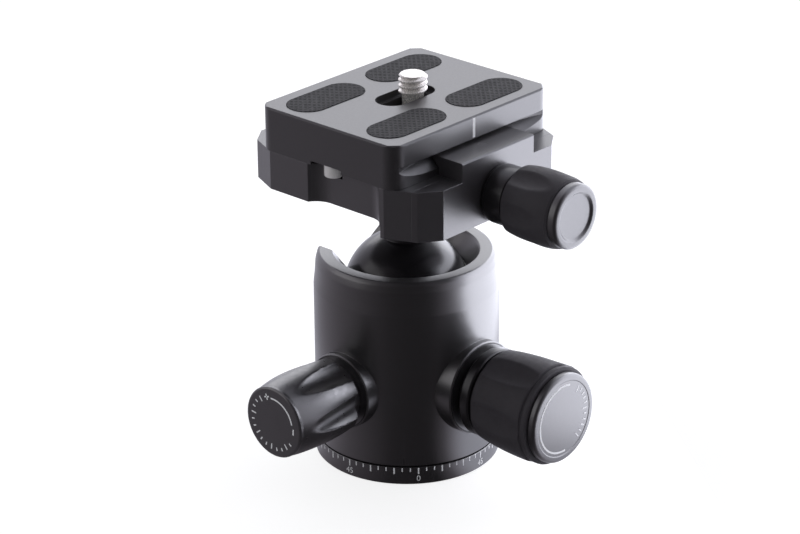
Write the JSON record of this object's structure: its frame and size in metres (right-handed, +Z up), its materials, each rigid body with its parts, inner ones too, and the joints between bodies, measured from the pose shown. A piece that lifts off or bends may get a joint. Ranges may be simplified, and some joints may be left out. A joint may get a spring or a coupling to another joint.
{
  "type": "tripod ball head",
  "caption": "Compact tripod ball head with panning base, ball lock and friction knobs, drop notch and quick-release clamp with plate.",
  "frame": {"origin": "centre of the base's mounting face, at the mouth of the tripod thread", "axes": "+Z up along the ball's neck, +X towards the ball-lock knob, -Y towards the friction knob, -X towards the drop notch; the plate is long in Y"},
  "size_m": [0.0743, 0.0734, 0.0879],
  "materials": {
    "black_anodised": "satin",
    "clamp_black": "satin",
    "plate_black": "satin",
    "ball_black": "gloss",
    "white_paint": "matte",
    "steel": "satin",
    "brass": "satin",
    "bare_aluminium": "satin",
    "white_plastic": "matte",
    "knob_metal": "satin",
    "knob_rubber": "matte",
    "knob_black": "satin",
    "cap_black": "satin",
    "pad_rubber": "matte"
  },
  "bodies": {
    "base": {"pan_base": "black_anodised", "scale_marks": "white_paint", "thread_insert": "steel", "thrust_washer": "white_plastic", "retaining_nut": "steel"},
    "housing": {"housing": "black_anodised", "bearing_plate": "brass", "bearing_screws": "steel", "wedge_floor": "steel", "upper_seat": "white_plastic", "cup_springs": "steel", "friction_bush": "brass", "pan_bush": "brass", "lock_washer": "white_plastic"},
    "cup": {"ball_cup": "bare_aluminium"},
    "wedge": {"lock_wedge": "bare_aluminium"},
    "lock_knob": {"lock_spindle": "steel", "lock_clip": "steel", "lock_hub": "knob_metal", "lock_grip": "knob_rubber", "lock_cap": "cap_black"},
    "friction_control": {"friction_spindle": "steel", "friction_knob": "knob_black", "friction_marks": "white_paint"},
    "plunger": {"friction_plunger": "brass"},
    "pan_lock": {"pan_spindle": "steel", "pan_knob": "knob_black", "pan_cap": "cap_black"},
    "brake": {"pan_shoe": "brass"},
    "ball": {"ball": "ball_black"},
    "clamp": {"clamp_body": "clamp_black", "stem_screw": "steel", "guide_pins": "steel", "jaw_springs": "steel"},
    "jaw": {"clamp_jaw": "clamp_black", "jaw_dot": "bare_aluminium"},
    "clamp_knob": {"clamp_screw": "steel", "clamp_hub": "knob_metal", "clamp_grip": "knob_rubber", "clamp_cap": "cap_black"},
    "plate": {"plate": "plate_black", "plate_mark": "white_paint", "pads": "pad_rubber", "safety_screws": "steel"},
    "slider": {"screw_slider": "knob_metal"},
    "camera_screw": {"camera_screw": "steel"}
  },
  "joints": [
    {"name": "pan", "type": "hinge", "parent": "base", "child": "housing", "pos_m": [0, 0, 0.009], "axis": [0, 0, 1], "continuous": true},
    {"name": "ball_tilt", "type": "hinge", "parent": "housing", "child": "ball", "pos_m": [0, 0, 0.0382], "axis": [0, -1, 0], "range_deg": [-35, 90]},
    {"name": "ball_spin", "type": "hinge", "parent": "ball", "child": "clamp", "pos_m": [0, 0, 0.064], "axis": [0, 0, 1], "continuous": true},
    {"name": "ball_lock_turn", "type": "hinge", "parent": "housing", "child": "lock_knob", "pos_m": [0.03, 0, 0.0209], "axis": [-1, 0, 0], "range_deg": [0, 360]},
    {"name": "wedge_slide", "type": "slide", "parent": "housing", "child": "wedge", "axis": [1, 0, 0], "range_m": [0, 0.0007]},
    {"name": "cup_lift", "type": "slide", "parent": "housing", "child": "cup", "axis": [0, 0, 1], "range_m": [0, 0.000245]},
    {"name": "friction_turn", "type": "hinge", "parent": "housing", "child": "friction_control", "pos_m": [0, -0.03, 0.0209], "axis": [0, 1, 0], "range_deg": [0, 112]},
    {"name": "friction_push", "type": "slide", "parent": "housing", "child": "plunger", "axis": [0, 1, 0], "range_m": [0, 0.00025]},
    {"name": "pan_lock_turn", "type": "hinge", "parent": "housing", "child": "pan_lock", "pos_m": [-0.015, 0.02598, 0.01], "axis": [0.5, -0.866, 0], "range_deg": [0, 112]},
    {"name": "pan_brake_push", "type": "slide", "parent": "housing", "child": "brake", "axis": [0.5, -0.866, 0], "range_m": [0, 0.00025]},
    {"name": "clamp_knob_turn", "type": "hinge", "parent": "jaw", "child": "clamp_knob", "pos_m": [0.03, 0, 0.0683], "axis": [1, 0, 0], "range_deg": [0, 1080]},
    {"name": "jaw_slide", "type": "slide", "parent": "clamp", "child": "jaw", "axis": [1, 0, 0], "range_m": [0, 0.0024]},
    {"name": "plate_slide", "type": "slide", "parent": "clamp", "child": "plate", "axis": [0, 1, 0], "range_m": [-0.002, 0.002]},
    {"name": "camera_screw_slide", "type": "slide", "parent": "plate", "child": "slider", "axis": [0, 1, 0], "range_m": [-0.0068, 0.0018]},
    {"name": "camera_screw_turn", "type": "hinge", "parent": "slider", "child": "camera_screw", "pos_m": [0, 0.0025, 0.08], "axis": [0, 0, 1], "continuous": true}
  ],
  "couplings": [
    {"joint": "ball_lock_turn", "follows": "wedge_slide", "rad_per_m": 8975.9},
    {"joint": "cup_lift", "follows": "wedge_slide", "ratio": 0.3499},
    {"joint": "friction_turn", "follows": "friction_push", "rad_per_m": 7819},
    {"joint": "pan_lock_turn", "follows": "pan_brake_push", "rad_per_m": 7819},
    {"joint": "clamp_knob_turn", "follows": "jaw_slide", "rad_per_m": 7853.9}
  ]
}
